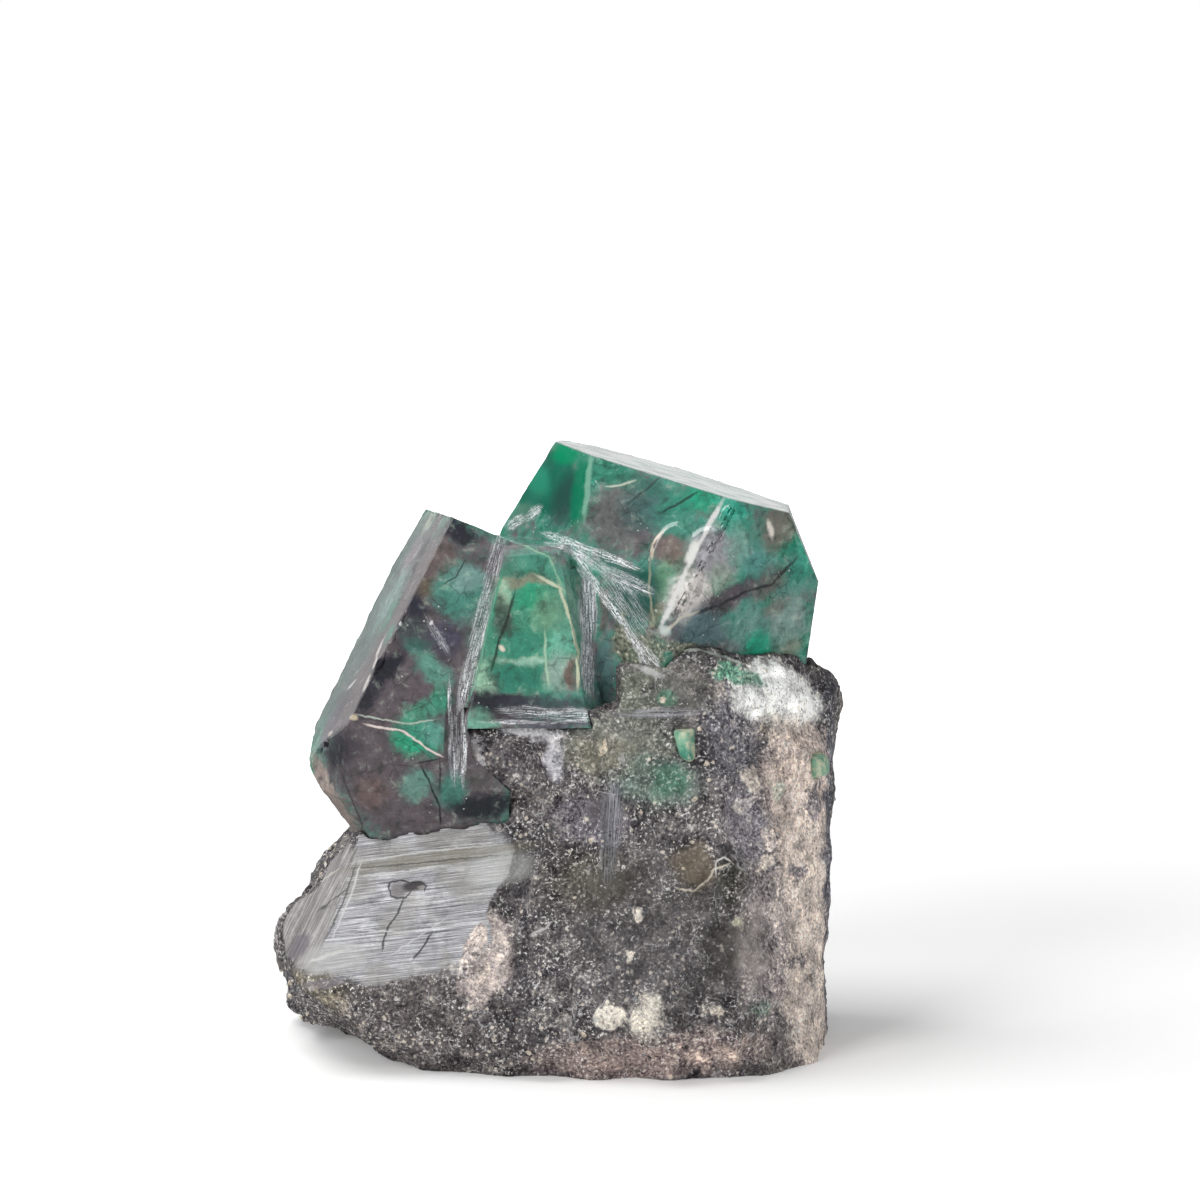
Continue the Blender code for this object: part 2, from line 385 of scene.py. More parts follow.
# %% Four sizes of break, as name, texture, size and height in millimetres, and settings
RELIEF = [
    ("lumps", "CLOUDS", 6.0, 1.5, {"noise_depth": 1}),
    ("flakes", "VORONOI", 4.2, 1.2, {"distance_metric": "DISTANCE_SQUARED"}),
    ("crumbs", "CLOUDS", 1.9, 0.8, {"noise_depth": 2, "noise_type": "HARD_NOISE"}),
    ("grain", "CLOUDS", 0.8, 0.5, {"noise_depth": 1}),
]
apply(schist, "SMOOTH", "worn", factor=0.6, iterations=4, vertex_group="broken")
for name, kind, size, height, settings in RELIEF:
    texture = bpy.data.textures.new(name, kind)
    texture.noise_scale = size * MM
    for setting, value in settings.items():
        setattr(texture, setting, value)
    apply(
        schist, "DISPLACE", name, texture=texture, texture_coords="LOCAL", strength=height * MM,
        mid_level=0.5, vertex_group="broken",
    )

# the collar swells to close the gap that the solids keep round the crystals
CLOSED = 0.5
apply(schist, "DISPLACE", "closed", strength=CLOSED * MM, mid_level=0.0, vertex_group="collar")

# %% Lumps and hollows that stand out by themselves
# across, down, half width, half height, turn and height in millimetres
STANDING = [
    (607, 1018, 15, 15, 0, 1.1), (645, 1016, 18, 26, -20, 0.9), (714, 1008, 12, 7, 0, 0.7),
    (640, 915, 7, 10, 20, 0.8), (628, 956, 7, 7, 0, 0.6), (602, 746, 6, 11, 0, 0.8),
    (670, 880, 40, 18, 5, 0.7), (512, 765, 34, 30, -20, -1.3), (486, 955, 26, 44, -20, 0.9),
    (612, 835, 8, 42, 0, -0.8), (780, 700, 66, 24, -10, 0.9), (730, 945, 28, 34, 0, -0.9),
    (745, 825, 26, 40, 0, -0.8), (560, 900, 40, 26, 0, 0.6),
]
for across, down, wide, high, turn, height in STANDING:
    points = corners(schist)
    depth = egg(points, schist, across, down, wide, high, turn)
    group = weigh(schist, "standing", smooth(depth, 0, 0.45))
    apply(schist, "DISPLACE", "standing", strength=height * MM, mid_level=0.0, vertex_group=group)
    schist.vertex_groups.remove(schist.vertex_groups["standing"])
schist.vertex_groups.clear()
only(schist)
bpy.ops.object.shade_smooth_by_angle(angle=np.radians(60))
print("schist triangles", triangles(schist))

# %% [markdown]
# ## Finishes
# A finish is a tree of shader nodes. Written out one by one they hide the idea, so a small class
# wraps an output socket and takes part in ordinary sums: an expression such as 1 - mask * 0.5 adds
# the Math nodes it needs. Every other node comes from one method. All patterns read the stone's
# own coordinates, in millimetres, so that a pattern runs on through a piece as it does in rock.

# %% A socket that can be reckoned with
class Wire:
    """An output socket that adds, multiplies and so on as a number does."""

    def __init__(self, nodes, socket):
        self.nodes = nodes
        self.socket = socket

    def reckon(self, operation, first, second):
        return self.nodes.node("ShaderNodeMath", {"operation": operation}, {0: first, 1: second})

    def __add__(self, other):
        return self.reckon("ADD", self, other)

    def __radd__(self, other):
        return self.reckon("ADD", other, self)

    def __sub__(self, other):
        return self.reckon("SUBTRACT", self, other)

    def __rsub__(self, other):
        return self.reckon("SUBTRACT", other, self)

    def __mul__(self, other):
        return self.reckon("MULTIPLY", self, other)

    def __rmul__(self, other):
        return self.reckon("MULTIPLY", other, self)

    def __abs__(self):
        return self.reckon("ABSOLUTE", self, 0)

    def most(self, other):
        return self.reckon("MAXIMUM", self, other)

    def rise(self, low, high, start=0, end=1, kind="SMOOTHSTEP"):
        """Start at low and end at high, with a soft rise between them. Low may be the larger."""
        return self.nodes.node(
            "ShaderNodeMapRange", {"interpolation_type": kind},
            {"Value": self, "From Min": low, "From Max": high, "To Min": start, "To Max": end},
        )


# %% A tree of nodes, and a finish under way
def tint(colour):
    """A screen colour, 0 to 255 each, as the linear one of a shader. A wire stays as it is."""
    if isinstance(colour, Wire):
        return colour
    shares = np.array(colour) / 255
    linear = np.where(shares <= 0.04045, shares / 12.92, ((shares + 0.055) / 1.055) ** 2.4)
    return (*linear.tolist(), 1.0)


class Nodes:
    """A tree of shader nodes."""

    def __init__(self, tree):
        self.tree = tree

    def node(self, kind, settings=None, inputs=None, output=0):
        """One node: its settings first, a ramp's stops among them, then its sockets."""
        made = self.tree.nodes.new(kind)
        for setting, value in (settings or {}).items():
            if setting == "stops":
                ramp = made.color_ramp.elements
                while len(ramp) < len(value):
                    ramp.new(1)
                for stop, (at, colour) in zip(ramp, value):
                    stop.position = at
                    stop.color = tint(colour)
            else:
                setattr(made, setting, value)
        for socket, value in (inputs or {}).items():
            if isinstance(value, Wire):
                self.tree.links.new(value.socket, made.inputs[socket])
            else:
                made.inputs[socket].default_value = value
        return Wire(self, made.outputs[output])


class Finish(Nodes):
    """A material, the nodes it is made of, and the stone's coordinates in millimetres."""

    def __init__(self, name):
        self.material = bpy.data.materials.new(name)
        self.material.use_nodes = True
        super().__init__(self.material.node_tree)
        self.tree.nodes.clear()
        self.here = self.vector("SCALE", self.node("ShaderNodeTexCoord", output="Object"), 1 / MM)

    def vector(self, operation, first, second=(0, 0, 0), output=0):
        """A sum on vectors. SCALE takes a number, and DOT_PRODUCT and LENGTH give a Value."""
        return self.node(
            "ShaderNodeVectorMath", {"operation": operation},
            {0: first, "Scale" if operation == "SCALE" else 1: second}, output,
        )

    def noise(self, where, size, detail=3, rough=0.5, output=0):
        """Cloudy noise around 0.5, with lumps of about that size in millimetres."""
        return self.node(
            "ShaderNodeTexNoise", {},
            {"Vector": where, "Scale": 1 / size, "Detail": detail, "Roughness": rough}, output,
        )

    def cells(self, where, size, feature="F1", output="Distance"):
        """Cells of about that size in millimetres."""
        return self.node(
            "ShaderNodeTexVoronoi", {"feature": feature}, {"Vector": where, "Scale": 1 / size},
            output,
        )

    def laid(self, where, turn, size, middle=(0, 0, 0)):
        """Coordinates laid along a turned box: 0 in its middle, and 1 a size away from it."""
        return self.node(
            "ShaderNodeMapping", {"vector_type": "TEXTURE"},
            {"Vector": where, "Location": middle, "Rotation": turn, "Scale": size},
        )

    def scratches(self, rising, lengths, detail):
        """Noise drawn out into straight scratches that rise to the right by some degrees."""
        return self.noise(
            self.laid(self.here, level(rising).to_euler(), lengths), 1.0, detail, 0.75
        )

    def shifted(self, size, reach, detail):
        """The coordinates pushed about by noise, which makes a plain outline a natural one."""
        push = self.noise(self.here, size, detail, 0.6, output=1)
        centred = self.vector("SUBTRACT", push, (0.5, 0.5, 0.5))
        return self.vector("ADD", self.here, self.vector("SCALE", centred, reach))

    def along(self, normal):
        """How far a point lies along a direction, in millimetres."""
        return self.vector("DOT_PRODUCT", self.here, normal, "Value")

    def blend(self, mask, under, over):
        """One colour over another where the mask is 1."""
        return self.node(
            "ShaderNodeMix", {"data_type": "RGBA"}, {0: mask, 6: under, 7: tint(over)}, 2
        )

    def tones(self, value, *stops):
        """A ramp of colours along a value."""
        return self.node("ShaderNodeValToRGB", {"stops": stops}, {0: value})

    def grey(self, colour):
        """How bright a colour is."""
        return self.node("ShaderNodeRGBToBW", {}, {0: colour})

    def spot(self, where, piece, across, down, wide, high, turn=0, soft=0.5, deep=0, fray=1):
        """A mask for one egg-shaped patch of a piece, whose middle is found by a line of sight.

        Its half width and half height are in parts of the frame, and turn lifts its right end.
        """
        middle = seen_on(piece, across, down) / MM
        half = Vector((wide, max(deep, wide, high, LEAST_DEPTH), high)) * FRAME_PART
        inside = self.laid(where, level(turn).to_euler(), half * (1 + soft / 2), middle)
        depth = self.node("ShaderNodeTexGradient", {"gradient_type": "SPHERICAL"}, {0: inside}, 1)
        if isinstance(fray, Wire):
            depth = depth * fray
        return depth.rise(0, soft / (1 + soft / 2))

    def painted(self, colour, marks, where, piece, fray=1):
        """A colour with marks laid over it, each a spot's extent, then its colour and strength."""
        for *extent, hue, strength in marks:
            mask = self.spot(where, piece, *extent, fray=fray)
            colour = self.blend(mask * strength, colour, hue)
        return colour

    def close(self, **sockets):
        """The shader and the output. What varies is a wire, and what doesn't is set as a value."""
        names = {key.replace("_", " ").title(): value for key, value in sockets.items()}
        shader = self.node("ShaderNodeBsdfPrincipled", {}, {
            {"Ior": "IOR"}.get(name, name): value for name, value in names.items()
        })
        end = self.tree.nodes.new("ShaderNodeOutputMaterial")
        self.tree.links.new(shader.socket, end.inputs["Surface"])
        print(self.material.name, "nodes", len(self.tree.nodes))
        return self.material


# %% Chains of places, as marks
def chained(chains, soft):
    """One mark for each straight stretch of some chains, which are places, half width and more."""
    marks = []
    for places, wide, *rest in chains:
        for (x0, y0), (x1, y1) in zip(places, places[1:]):
            long = np.hypot(x1 - x0, y1 - y0) * OVERLAP
            rising = np.degrees(np.arctan2(y0 - y1, x1 - x0))
            marks.append(((x0 + x1) / 2, (y0 + y1) / 2, long, wide, rising, soft, *rest))
    return marks


OVERLAP = 0.6

# %% [markdown]
# ## The emerald's finish
# Emerald that grew in schist is seldom clear. It is clouded green, greyed by mica and healed
# cracks, and runs from deep green glass at the tip to brown and violet grey lower down. A base of
# cloudy noise gives every side that look. The patches that make this stone itself are then laid
# over it one by one, from a list, each with a ragged edge. Gloss follows the cutter's work:
# polished faces shine, natural ones are dull, and ground ones are frosted with scratches.

# %% Colours of the crystals, as a screen shows them
DEEP = (22, 84, 70)
GREEN = (48, 132, 103)
PALE = (170, 186, 166)
BROWN = (124, 112, 98)
OLIVE = (104, 106, 84)
VIOLET = (104, 98, 98)
LILAC = (150, 152, 151)
TEAL = (62, 98, 92)
SLATE = (74, 82, 84)
INK = (42, 44, 50)
WHITE = (214, 216, 214)

# %% Patches, as across, down, half width, half height, turn, softness, colour and strength
CLEAR_PATCHES = [
    (545, 482, 33, 48, 60, 0.35, (18, 98, 78), 0.92),
    (566, 452, 20, 13, -20, 0.9, (6, 132, 92), 0.9),
    (538, 480, 12, 22, 32, 1, (46, 144, 114), 0.65),
    (566, 500, 15, 30, -12, 1, (38, 70, 66), 0.85),
    (530, 505, 10, 16, 30, 1, (40, 112, 92), 0.7),
    (580, 490, 8, 42, -6, 0.9, (4, 114, 82), 0.85),
    (588, 484, 2.6, 36, -6, 0.9, (124, 170, 150), 0.75),
    (522, 516, 15, 12, 28, 0.8, (96, 130, 116), 0.6),
    (634, 596, 24, 34, -40, 0.8, (34, 70, 64), 0.85),
    (616, 566, 22, 10, -30, 0.8, (52, 92, 82), 0.7),
]
LARGE_PATCHES = [
    (616, 520, 32, 36, 10, 0.8, (94, 91, 89), 0.9),
    (612, 471, 26, 12, -16, 0.9, (52, 124, 98), 0.9),
    (650, 508, 24, 26, 30, 1.2, TEAL, 0.8),
    (640, 484, 26, 9, -18, 1.2, (56, 110, 92), 0.6),
    (680, 500, 22, 13, 20, 1, (52, 128, 102), 0.8),
    (704, 498, 16, 16, 30, 1, (40, 150, 112), 0.85),
    (676, 526, 18, 12, 20, 1.1, (70, 132, 110), 0.8),
    (668, 548, 18, 15, 25, 0.7, (103, 95, 89), 0.95),
    (663, 580, 9, 22, -10, 0.8, (104, 152, 116), 0.9),
    (657, 612, 8, 14, -10, 0.9, OLIVE, 0.9),
    (690, 575, 14, 40, 32, 1, BROWN, 0.5),
    (712, 556, 22, 28, 20, 0.8, LILAC, 0.95),
    (690, 600, 26, 22, 35, 0.8, (206, 206, 194), 0.9),
    (722, 580, 14, 16, 30, 1, (140, 162, 140), 0.7),
    (735, 515, 18, 20, 40, 1, (52, 164, 134), 0.9),
    (738, 545, 12, 20, 10, 1.1, (120, 166, 146), 0.8),
    (758, 565, 18, 22, 20, 0.9, (88, 146, 132), 0.9),
    (762, 530, 14, 14, 0, 1, (84, 140, 118), 0.7),
    (780, 528, 15, 26, -25, 0.9, (112, 112, 100), 0.9),
    (803, 560, 9, 40, -24, 1, (68, 166, 136), 0.9),
    (790, 580, 16, 22, 0, 1.1, (56, 122, 104), 0.8),
    (730, 598, 42, 10, 26, 0.8, (84, 80, 82), 0.95),
    (770, 582, 22, 12, 40, 1, (98, 96, 90), 0.8),
    (702, 630, 34, 19, 0, 0.8, (86, 112, 112), 0.95),
    (748, 628, 26, 24, 20, 1, (98, 144, 130), 0.85),
    (788, 622, 22, 34, 0, 1.1, (122, 148, 136), 0.8),
    (776, 606, 16, 8, 30, 1.1, (110, 106, 98), 0.7),
    (757, 650, 14, 18, 0, 1, (40, 156, 120), 0.9),
    (792, 648, 14, 10, 20, 1, (120, 128, 108), 0.7),
]
MIDDLE_PATCHES = [
    (528, 630, 52, 62, 0, 0.6, (70, 136, 108), 1.0),
    (530, 562, 24, 16, -10, 0.9, (70, 134, 110), 0.9),
    (522, 582, 28, 5, 4, 1.2, (134, 132, 108), 0.75),
    (500, 594, 8, 15, 12, 1, (150, 184, 152), 0.9),
    (530, 597, 15, 10, 0, 1, (52, 150, 110), 0.9),
    (504, 622, 9, 30, 14, 1, (62, 76, 66), 0.9),
    (550, 612, 16, 18, 0, 1.1, (112, 156, 122), 0.7),
    (520, 645, 20, 13, 0, 1, (58, 132, 106), 0.9),
    (560, 645, 16, 12, 0, 0.9, (112, 184, 154), 0.9),
    (522, 661, 26, 4, -4, 1.1, (152, 190, 164), 0.8),
    (519, 677, 26, 14, 0, 0.9, (50, 118, 95), 0.9),
    (557, 672, 12, 18, 0, 0.9, (136, 164, 146), 0.9),
    (572, 674, 7, 14, 0, 1, (112, 98, 88), 0.9),
    (481, 677, 10, 22, 14, 0.8, (134, 178, 146), 0.95),
    (570, 605, 12, 48, -10, 1, (96, 150, 126), 0.5),
    (498, 702, 34, 9, 0, 0.9, INK, 0.95),
    (545, 706, 44, 10, 0, 0.9, (64, 68, 74), 0.8),
    (604, 672, 8, 38, -2, 0.9, (84, 122, 116), 0.9),
    (604, 610, 6, 26, -4, 0.9, (108, 102, 96), 0.9),
    (545, 724, 52, 4.5, 0, 0.9, (92, 94, 98), 0.95),
    (480, 722, 15, 14, 0, 1, (112, 168, 142), 0.9),
]
LEFT_PATCHES = [
    (420, 690, 110, 180, 0, 0.4, (92, 87, 87), 1.0),
    (370, 620, 22, 130, -27, 0.6, (72, 96, 88), 1.0),
    (430, 521, 14, 14, -28, 1, (152, 164, 144), 0.85),
    (412, 556, 12, 24, -28, 1.1, (120, 112, 116), 0.9),
    (392, 598, 11, 34, -27, 1.1, (112, 144, 132), 0.8),
    (391, 613, 4, 22, -27, 1.1, (52, 120, 96), 0.8),
    (352, 674, 12, 26, -27, 1.1, (84, 98, 92), 0.8),
    (343, 700, 14, 24, -27, 1, (66, 68, 72), 0.85),
    (330, 728, 14, 20, -30, 1.1, (90, 86, 96), 0.8),
    (456, 530, 24, 11, -22, 0.8, INK, 0.95),
    (424, 548, 14, 5, 45, 1, INK, 0.8),
    (440, 566, 22, 26, 10, 0.9, (102, 94, 88), 0.9),
    (425, 590, 12, 10, 20, 1.1, (96, 90, 72), 0.8),
    (413, 572, 2.6, 16, 0, 1.2, INK, 0.9),
    (459, 592, 24, 29, 0, 0.8, (72, 130, 112), 0.95),
    (466, 578, 15, 14, 0, 1.2, (112, 146, 136), 0.8),
    (416, 606, 12, 14, 30, 0.9, (48, 50, 60), 0.95),
    (412, 632, 18, 14, -20, 1, (62, 72, 70), 0.9),
    (446, 640, 18, 16, -20, 1, (70, 70, 82), 0.9),
    (389, 634, 6, 11, -30, 1, (56, 132, 106), 0.8),
    (418, 647, 12, 9, 0, 1.1, (62, 104, 92), 0.8),
    (433, 670, 22, 11, -38, 0.9, (88, 140, 120), 0.95),
    (386, 668, 12, 24, -42, 0.9, (38, 40, 46), 0.95),
    (367, 700, 9, 17, -20, 1, (44, 46, 52), 0.9),
    (424, 709, 26, 9, 22, 0.9, (74, 136, 110), 0.95),
    (440, 700, 10, 12, 10, 1.1, (66, 138, 110), 0.9),
    (418, 738, 26, 19, 0, 0.8, (60, 142, 112), 0.95),
    (408, 745, 14, 9, -20, 1.2, (52, 160, 118), 0.9),
    (434, 733, 12, 14, 0, 1.2, (92, 146, 130), 0.7),
    (337, 749, 26, 20, 18, 0.8, (54, 56, 60), 0.95),
    (331, 744, 8, 7, 0, 1.2, (70, 82, 78), 0.7),
    (372, 792, 14, 16, 0, 1.2, (114, 98, 86), 0.5),
    (416, 785, 15, 19, -30, 0.8, (98, 142, 124), 0.9),
    (452, 791, 15, 19, 0, 0.9, (70, 126, 108), 0.9),
    (486, 806, 34, 12, 8, 0.9, (42, 48, 50), 0.95),
    (478, 780, 10, 10, 0, 1.2, (96, 98, 92), 0.7),
    (334, 800, 10, 52, 30, 0.65, (146, 137, 126), 1.0),
    (368, 845, 10, 14, 30, 1.1, (132, 120, 120), 0.8),
]

# %% Places where rock still clings, as across, down, half width, half height and turn
ROCKY_PLACES = [(640, 656, 26, 26, 0), (688, 650, 34, 8, -8), (622, 640, 6, 30, 0)]

# %% Healed cracks, open ones, a painted ridge highlight and a painted step shadow
# as places along each, half width, colour and strength
CRACKS_HIGHLIGHT_AND_SHADOW = [
    ([(606, 487), (619, 486), (633, 481)], 1.1, (190, 196, 180), 0.8),
    ([(626, 505), (646, 490), (660, 478)], 1.3, (56, 70, 66), 0.7),
    ([(663, 512), (680, 502), (697, 492)], 1.4, (44, 52, 50), 0.8),
    ([(664, 530), (652, 545), (652, 558)], 1.4, (196, 180, 160), 0.7),
    ([(650, 560), (649, 590), (654, 622)], 1.2, (150, 150, 130), 0.6),
    # painted highlight: a white line and one wider spot down the ridge of the large prism's front
    ([(720, 505), (701, 540), (687, 568), (674, 598), (662, 624)], 2.4, (206, 206, 204), 0.95),
    ([(696, 542), (688, 560)], 4.5, (214, 214, 208), 0.9),
    # painted shadow: a dark line under the lower edge of the raised skin on the large prism
    ([(697, 613), (720, 605), (745, 592), (772, 584), (795, 560)], 1.6, (46, 46, 50), 0.8),
    ([(664, 634), (680, 618), (697, 612)], 1.6, (200, 196, 180), 0.7),
    ([(769, 522), (772, 536)], 3.0, (226, 220, 210), 0.85),
    ([(661, 628), (668, 634)], 4.0, (190, 200, 196), 0.9),
    ([(521, 544), (549, 557), (562, 586)], 0.9, (150, 190, 160), 0.55),
    ([(540, 577), (560, 588), (571, 622), (578, 653), (578, 684)], 1.7, (196, 200, 174), 0.9),
    ([(545, 636), (546, 660), (548, 684)], 1.3, (168, 196, 170), 0.8),
    ([(514, 594), (507, 620), (498, 645), (492, 668)], 1.4, (44, 50, 44), 0.8),
    ([(500, 646), (504, 650)], 2.4, (226, 214, 196), 0.9),
    ([(501, 575), (489, 624), (478, 670), (468, 702)], 1.3, (66, 150, 118), 0.8),
    ([(358, 715), (380, 719), (407, 724), (432, 720)], 0.9, (176, 186, 174), 0.8),
    ([(367, 724), (385, 729), (398, 730), (413, 737), (424, 746), (441, 756)], 1.1,
     (220, 206, 200), 0.95),
    ([(422, 766), (432, 790), (440, 807), (440, 822)], 1.1, (34, 36, 38), 0.85),
    ([(440, 760), (440, 790)], 0.9, (40, 44, 44), 0.7),
    ([(418, 763), (437, 759)], 1.0, (40, 46, 46), 0.8),
    ([(340, 770), (352, 800), (362, 825), (372, 848)], 0.9, (64, 60, 62), 0.7),
    ([(464, 562), (456, 576), (444, 584)], 0.9, (36, 38, 38), 0.7),
    ([(383, 640), (377, 655), (374, 668)], 1.4, (214, 208, 204), 0.8),
    ([(369, 676), (364, 690)], 1.8, (216, 212, 208), 0.8),
    ([(357, 680), (346, 690)], 1.2, (206, 204, 204), 0.7),
    ([(349, 716), (356, 718)], 2.8, (196, 184, 160), 0.9),
    ([(328, 735), (333, 732)], 2.2, (196, 188, 176), 0.8),
    ([(400, 622), (402, 625)], 1.6, (224, 222, 224), 0.9),
    ([(430, 624), (432, 621)], 1.6, (224, 222, 224), 0.9),
]

# %% Frosted ground: places, half width, how white its scratches are and its haze
FROST = [
    ([(538, 531), (590, 549), (634, 567)], 4.0, 0.9, 0.1),
    ([(533, 536), (587, 557)], 3.0, 0.8, 0.2),
    ([(560, 540), (606, 570), (650, 592)], 7.0, 0.5, 0.05),
    ([(576, 557), (602, 593), (626, 626), (639, 649), (649, 679)], 3.6, 0.9, 0.15),
    ([(579, 571), (598, 592), (611, 608)], 2.6, 0.9, 0.2),
    ([(631, 637), (664, 676)], 6.0, 1.0, 0.25),
    ([(608, 580), (640, 628)], 15.0, 0.42, 0.0),
    ([(625, 582), (648, 592)], 1.2, 1.0, 0.8),
    ([(506, 526), (526, 518), (541, 508)], 6.0, 0.8, 0.2),
    ([(587, 582), (587, 640), (588, 692)], 7.5, 1.0, 0.75),
    ([(594, 588), (595, 631)], 2.6, 0.9, 0.8),
    ([(501, 537), (488, 590), (474, 650), (462, 706)], 7.0, 0.65, 0.35),
    ([(485, 626), (460, 706)], 2.4, 1.0, 0.4),
    ([(449.5, 683), (450, 722)], 1.6, 1.0, 0.6),
    ([(454, 722), (454, 774)], 5.0, 1.0, 0.5),
    ([(464, 716), (463, 776)], 3.4, 1.0, 0.5),
    ([(505, 710), (548, 712), (594, 714)], 5.5, 1.0, 0.45),
    ([(500, 721), (596, 719)], 3.0, 0.9, 0.3),
    ([(428, 620), (446, 650)], 4.0, 0.4, 0.1),
]


# %% [markdown]
# A shader works out every mark at every point, near or far. The prisms are therefore painted in
# five upright strips: each strip's finish has the shared clouding and only the marks that reach
# it, so that the strips meet without a seam and the stone renders far sooner.

# %% Strips, and the marks that reach each
STRIPS = ((-9000, 425), (425, 500), (500, 606), (606, 700), (700, 9000))
MARGIN = 14
FRAYED_REACH = 1.4


def reaching(marks, strip):
    """The marks that meet a strip of the prisms, or none where there is no strip."""
    met = []
    for mark in marks if strip else ():
        across, down, wide, high, turn = mark[:5]
        slope = np.radians(turn)
        reach = np.hypot(wide * np.cos(slope), high * np.sin(slope)) * FRAYED_REACH + MARGIN
        if strip[0] - reach < across < strip[1] + reach:
            met.append(mark)
    return met


# %% The large prism's polished end, which gets a painted reflection of the light above
CAP = direction(95, 74.2)
CAP_REACH = float((corners(emerald) @ CAP).max())


# %% The finish itself
def emerald_finish(name, piece, shine, strip=None):
    """Clouded emerald, with the marks that reach one strip of the prisms, or with none."""
    finish = Finish(name)
    here = finish.here
    ragged = finish.shifted(3.6, 4.2, 5)
    crooked = finish.shifted(2.6, 0.9, 3)

    # clouds and wisps, with the broad patches over them
    cloud = finish.noise(here, 9, 4, 0.62)
    wisps = finish.noise(ragged, 2.4, 5, 0.7)
    grain = finish.noise(here, 1.1, 5, 0.72)
    colour = finish.tones(
        cloud * 0.65 + wisps * 0.35,
        (0.30, DEEP), (0.42, GREEN), (0.50, (84, 140, 120)), (0.58, VIOLET), (0.70, SLATE),
    )
    frayed = grain * 2.2 - 0.1
    patches = reaching(LEFT_PATCHES + MIDDLE_PATCHES + LARGE_PATCHES, strip)
    colour = finish.painted(colour, patches, ragged, piece, frayed)

    # shattered and healed: each cell a little lighter or darker, with dark joints in places
    shard = finish.grey(finish.cells(crooked, 2.6, "F1", "Color"))
    tone = wisps * 0.5 + finish.noise(ragged, 2.0, 3, 0.65) * 0.5
    brightness = tone * 2.1 + grain * 0.5 + shard * 0.24 - 0.42
    colour = finish.vector("MULTIPLY", finish.vector("SCALE", colour, brightness), WARMTH)
    colour = finish.blend(tone.rise(0.54, 0.68) * 0.40, colour, PALE)
    colour = finish.blend(tone.rise(0.47, 0.36) * 0.45, colour, (66, 70, 66))
    if not strip:
        colour = finish.blend(cloud.rise(0.40, 0.58) * 0.75, colour, (140, 190, 158))
        colour = finish.blend(wisps.rise(0.50, 0.60) * 0.7, colour, (212, 208, 182))
        colour = finish.blend(wisps.rise(0.46, 0.38) * 0.6, colour, (58, 122, 92))
    broken = finish.noise(here, 6, 3).rise(0.50, 0.62)
    joints = finish.cells(crooked, 3.2, "DISTANCE_TO_EDGE").rise(0.055, 0.008)
    colour = finish.blend(joints * broken * 0.4, colour, INK)
    specks = finish.cells(here, 1.5).rise(0.12, 0.05) * broken
    colour = finish.blend(specks * 0.8, colour, WHITE)

    # clear places, cracks with a painted highlight and a painted shadow among them, and rock that
    # still clings
    colour = finish.painted(colour, reaching(CLEAR_PATCHES, strip), crooked, piece)
    crack_highlight_shadow_marks = reaching(chained(CRACKS_HIGHLIGHT_AND_SHADOW, 1.0), strip)
    colour = finish.painted(colour, crack_highlight_shadow_marks, crooked, piece, frayed)
    rocky = reaching(ROCKY_PLACES, strip)
    if rocky:
        gravel = finish.tones(
            finish.noise(here, 0.7, 3, 0.6),
            (0.34, (66, 68, 62)), (0.48, (108, 114, 100)), (0.58, (132, 134, 118)),
            (0.68, (206, 200, 182)),
        )
        colour = finish.painted(
            colour, [(*place, 0.7, gravel, 0.9) for place in rocky], ragged, piece, frayed
        )
    # a paler grey-green over the large prism's end: a painted reflection of the bright light above
    cap_reflection = (CAP_REACH - finish.along(CAP)).rise(0.35, 0.15)
    colour = finish.blend(cap_reflection * 0.55, colour, (128, 142, 136))

    # gloss, and the frosting that takes it away
    rough = finish.noise(here, 4, 2).rise(0.35, 0.7) * 0.12 + shine
    grit = finish.noise(here, 0.32, 1).rise(0.34, 0.46)
    ruled = {}
    for *place, soft, white, haze in reaching(chained(FROST, 0.7), strip):
        rising = round(place[4] / 5) * 5
        if rising not in ruled:
            ruled[rising] = finish.scratches(rising, (6.0, 1.0, 0.13), 3).rise(0.49, 0.54)
        mask = finish.spot(crooked, piece, *place, soft)
        colour = finish.blend(mask * haze, colour, (112, 113, 119))
        colour = finish.blend(mask * ruled[rising] * grit * white, colour, (242, 244, 246))
        rough = rough.most(mask * 0.6)
    return finish.close(base_color=colour, roughness=rough, ior=1.57)


WARMTH = (1.05, 0.99, 1.09)

# %% Painting the crystals
for number, strip in enumerate(STRIPS):
    emerald.data.materials.append(emerald_finish(f"emerald_{number}", emerald, 0.10, strip))
borders = [strip[1] for strip in STRIPS[:-1]]
chosen = np.searchsorted(borders, frame_across(middles(emerald)))
emerald.data.polygons.foreach_set("material_index", chosen.astype(np.int32))
plain = emerald_finish("emerald_natural", small, 0.35)
for piece in (small, side):
    piece.data.materials.append(plain)

# %% [markdown]
# ## The schist's finish
# Mica schist is a felt of dark and pale flakes, half a millimetre across, with feldspar crumbs
# and fibres between them. The speckle is deep noise run through a steep ramp. Patches change
# the ground colour: olive and green near the crystals, rusty and pale towards the right and the
# foot, and a white crust in the hollow. The ground flats are pale, with the wheel's scratches.

# %% Colours of the schist
DARK = (66, 64, 66)
STONE = (104, 101, 99)

